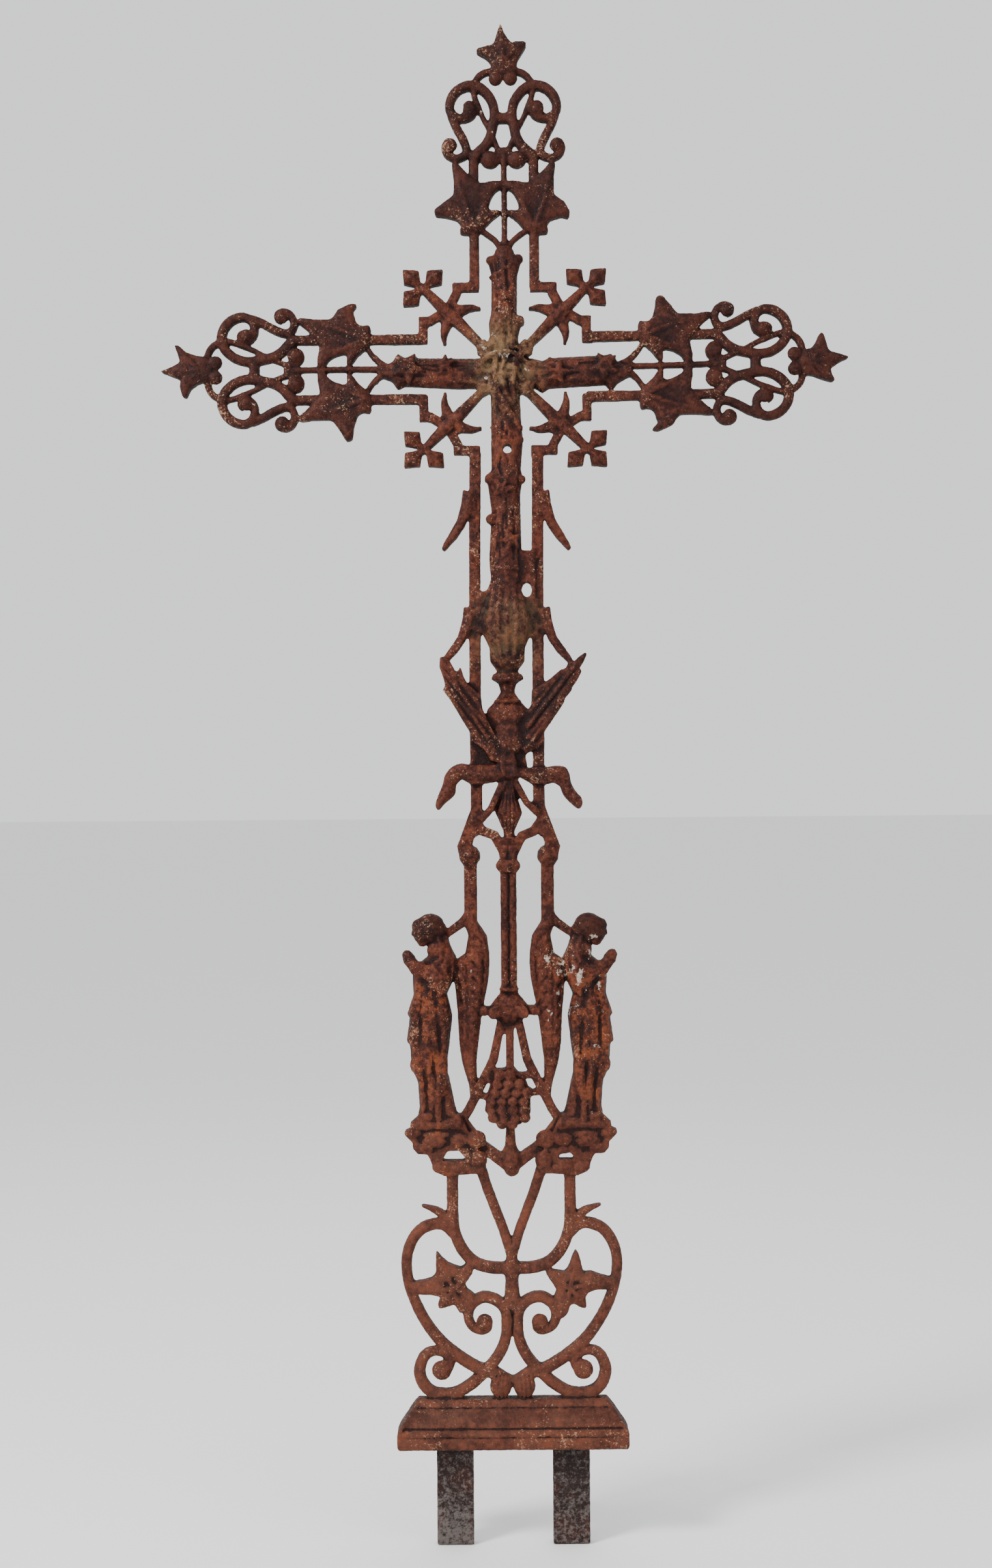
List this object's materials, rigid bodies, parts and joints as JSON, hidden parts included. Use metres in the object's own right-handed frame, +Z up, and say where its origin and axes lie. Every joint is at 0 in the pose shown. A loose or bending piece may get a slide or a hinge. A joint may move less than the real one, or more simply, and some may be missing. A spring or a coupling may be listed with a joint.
{
  "type": "cast iron grave cross",
  "caption": "Tall openwork cast iron grave cross with scrolled arms, a lopped trunk in the middle, two praying angels, leafy scrolls, a moulded foot and two fixing tangs.",
  "frame": {"origin": "middle of the flat underside of the moulded foot, where the cross sits on its stone; the tangs reach below it", "axes": "+Z up along the cross, +X to the viewer's right, -Y to the carved front"},
  "size_m": [0.5899, 0.032, 1.3025],
  "materials": {
    "rusted_iron": "rusted, matt, with remains of dark paint and orange and pale flecks"
  },
  "bodies": {
    "root": {"grave_cross": "rusted_iron"}
  },
  "joints": []
}
